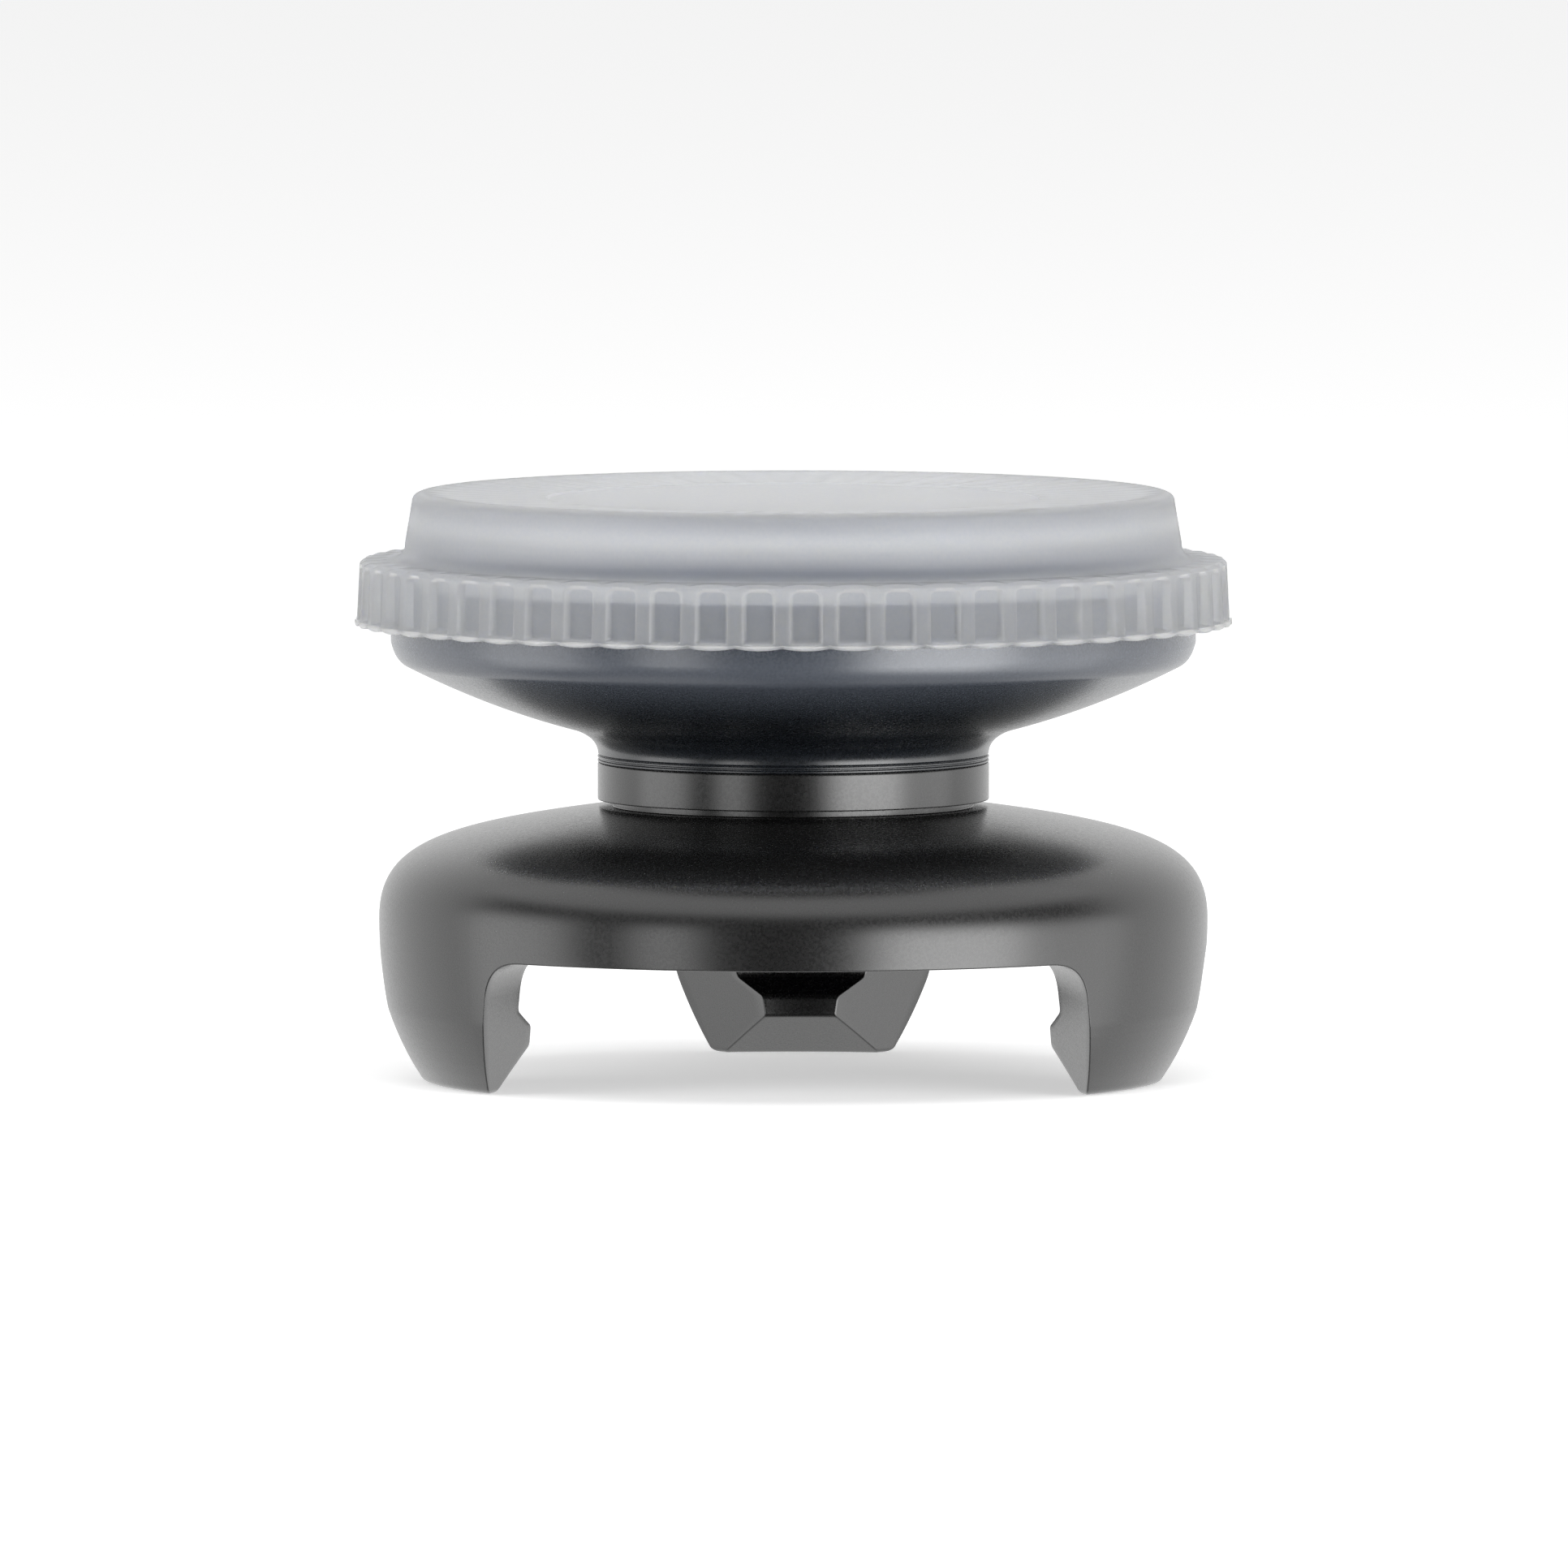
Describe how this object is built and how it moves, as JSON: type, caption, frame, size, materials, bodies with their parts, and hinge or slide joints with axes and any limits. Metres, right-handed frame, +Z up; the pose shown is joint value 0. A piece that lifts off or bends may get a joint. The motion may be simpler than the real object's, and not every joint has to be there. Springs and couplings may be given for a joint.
{
  "type": "controller thumb grip",
  "caption": "Clip-on thumb grip for a controller stick: dished translucent cap with a ribbed ring, flared pedestal, and a domed base with hooked prongs.",
  "frame": {"origin": "on the grip's axis, level with the tips of the prongs", "axes": "+Z up along the axis, from the clip to the thumb dish; the wide window between two prongs looks towards -Y; +X to the right as seen through that window"},
  "size_m": [0.022, 0.022, 0.0148],
  "materials": {
    "frosted_cap": "frosted translucent pale grey elastomer, fine matte grain",
    "smoky_plastic": "satin smoky blue-black moulded plastic",
    "satin_black_plastic": "satin black moulded plastic with a fine grain"
  },
  "bodies": {
    "root": {"grip_cap": "frosted_cap", "pedestal": "smoky_plastic", "clip_base": "satin_black_plastic"}
  },
  "joints": []
}
